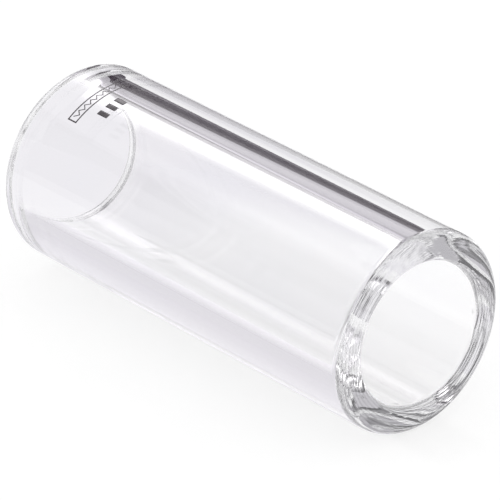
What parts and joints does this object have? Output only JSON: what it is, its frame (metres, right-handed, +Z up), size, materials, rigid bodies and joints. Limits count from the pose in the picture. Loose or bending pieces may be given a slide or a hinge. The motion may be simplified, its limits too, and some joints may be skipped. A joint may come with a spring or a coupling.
{
  "type": "guitar slide",
  "caption": "Heavy-walled clear glass tube with rounded ends, worn on a finger and slid along guitar strings, with a small dark print on its outside near one end.",
  "frame": {"origin": "centre of the bounding box's bottom face: the tube lies on its side and touches z = 0 along its length", "axes": "+X along the tube's axis, away from the printed end; +Z up"},
  "size_m": [0.0702, 0.029, 0.0293],
  "materials": {
    "glass": "clear, fire-polished",
    "print_ink": "glossy fired-on ink"
  },
  "bodies": {
    "root": {"glass_tube": "glass", "print_frame": "print_ink", "print_zigzag": "print_ink", "print_bar_1": "print_ink", "print_bar_2": "print_ink", "print_bar_3": "print_ink"}
  },
  "joints": []
}
